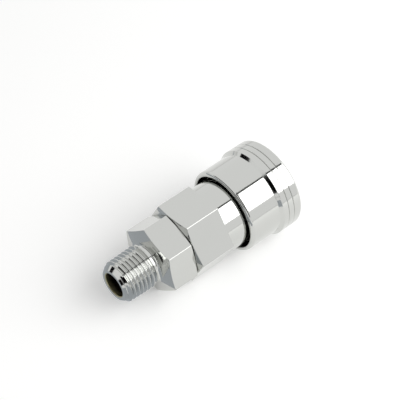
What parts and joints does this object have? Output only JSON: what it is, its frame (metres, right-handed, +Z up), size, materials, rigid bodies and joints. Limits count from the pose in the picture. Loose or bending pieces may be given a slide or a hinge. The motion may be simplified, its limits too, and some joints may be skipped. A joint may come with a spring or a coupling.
{
  "type": "quick coupling socket",
  "caption": "Chromed steel quick coupling socket for coolant lines: taper thread, two hexagons, sprung release sleeve over a ball lock, shut-off valve.",
  "frame": {"origin": "centre of the tip of the taper thread, on the coupling axis; the coupling lies on its side on a surface 9.88 mm below", "axes": "+Z up; +X along the coupling from the thread to the plug mouth as seen from above, with the coupling axis rising 4.83 degrees towards the mouth; +Y to its left"},
  "size_m": [0.0615, 0.0288, 0.0292],
  "materials": {
    "chrome_plate": "bright chrome plate on turned steel",
    "spring_steel": "drawn stainless spring wire",
    "ring_steel": "oiled spring steel",
    "ball_steel": "polished bearing steel",
    "brass": "turned brass",
    "nitrile_rubber": "moulded nitrile rubber"
  },
  "bodies": {
    "socket": {"threaded_adapter": "chrome_plate", "adapter_o_ring": "nitrile_rubber", "socket_body": "chrome_plate", "plug_packing": "nitrile_rubber", "valve_guide": "brass", "valve_spring": "spring_steel", "sleeve_stop_ring": "ring_steel"},
    "sleeve_carriage": {"sleeve_spring": "spring_steel"},
    "sleeve": {"sleeve": "chrome_plate"},
    "valve": {"valve_poppet": "brass", "valve_seal": "nitrile_rubber"},
    "lock_ball_1": {"lock_ball_1": "ball_steel"},
    "lock_ball_2": {"lock_ball_2": "ball_steel"},
    "lock_ball_3": {"lock_ball_3": "ball_steel"},
    "lock_ball_4": {"lock_ball_4": "ball_steel"},
    "lock_ball_5": {"lock_ball_5": "ball_steel"},
    "lock_ball_6": {"lock_ball_6": "ball_steel"},
    "lock_ball_7": {"lock_ball_7": "ball_steel"},
    "lock_ball_8": {"lock_ball_8": "ball_steel"}
  },
  "joints": [
    {"name": "sleeve_slide", "type": "slide", "parent": "socket", "child": "sleeve_carriage", "axis": [-0.9965, 0, -0.0841], "range_m": [0, 0.005], "stiffness_N_per_m": 2500, "springref_m": -0.004, "deforming": ["sleeve_spring"]},
    {"name": "sleeve_turn", "type": "hinge", "parent": "sleeve_carriage", "child": "sleeve", "pos_m": [0.04125, 0, 0.00348], "axis": [0.9965, 0, 0.0841], "continuous": true},
    {"name": "valve_slide", "type": "slide", "parent": "socket", "child": "valve", "axis": [-0.9965, 0, -0.0841], "range_m": [0, 0.005], "stiffness_N_per_m": 1200, "springref_m": -0.005, "deforming": ["valve_spring"]},
    {"name": "ball_1_slide", "type": "slide", "parent": "socket", "child": "lock_ball_1", "axis": [0.061, 0.6883, -0.7228], "range_m": [0, 0.0009]},
    {"name": "ball_2_slide", "type": "slide", "parent": "socket", "child": "lock_ball_2", "axis": [0.0022, 0.9997, -0.0261], "range_m": [0, 0.0009]},
    {"name": "ball_3_slide", "type": "slide", "parent": "socket", "child": "lock_ball_3", "axis": [-0.0579, 0.7254, 0.6859], "range_m": [0, 0.0009]},
    {"name": "ball_4_slide", "type": "slide", "parent": "socket", "child": "lock_ball_4", "axis": [-0.0841, 0.0262, 0.9961], "range_m": [0, 0.0009]},
    {"name": "ball_5_slide", "type": "slide", "parent": "socket", "child": "lock_ball_5", "axis": [-0.061, -0.6883, 0.7228], "range_m": [0, 0.0009]},
    {"name": "ball_6_slide", "type": "slide", "parent": "socket", "child": "lock_ball_6", "axis": [-0.0022, -0.9997, 0.0261], "range_m": [0, 0.0009]},
    {"name": "ball_7_slide", "type": "slide", "parent": "socket", "child": "lock_ball_7", "axis": [0.0579, -0.7254, -0.6859], "range_m": [0, 0.0009]},
    {"name": "ball_8_slide", "type": "slide", "parent": "socket", "child": "lock_ball_8", "axis": [0.0841, -0.0262, -0.9961], "range_m": [0, 0.0009]}
  ],
  "couplings": [
    {"joint": "ball_1_slide", "follows": "sleeve_slide", "ratio": 0.18},
    {"joint": "ball_2_slide", "follows": "sleeve_slide", "ratio": 0.18},
    {"joint": "ball_3_slide", "follows": "sleeve_slide", "ratio": 0.18},
    {"joint": "ball_4_slide", "follows": "sleeve_slide", "ratio": 0.18},
    {"joint": "ball_5_slide", "follows": "sleeve_slide", "ratio": 0.18},
    {"joint": "ball_6_slide", "follows": "sleeve_slide", "ratio": 0.18},
    {"joint": "ball_7_slide", "follows": "sleeve_slide", "ratio": 0.18},
    {"joint": "ball_8_slide", "follows": "sleeve_slide", "ratio": 0.18}
  ]
}
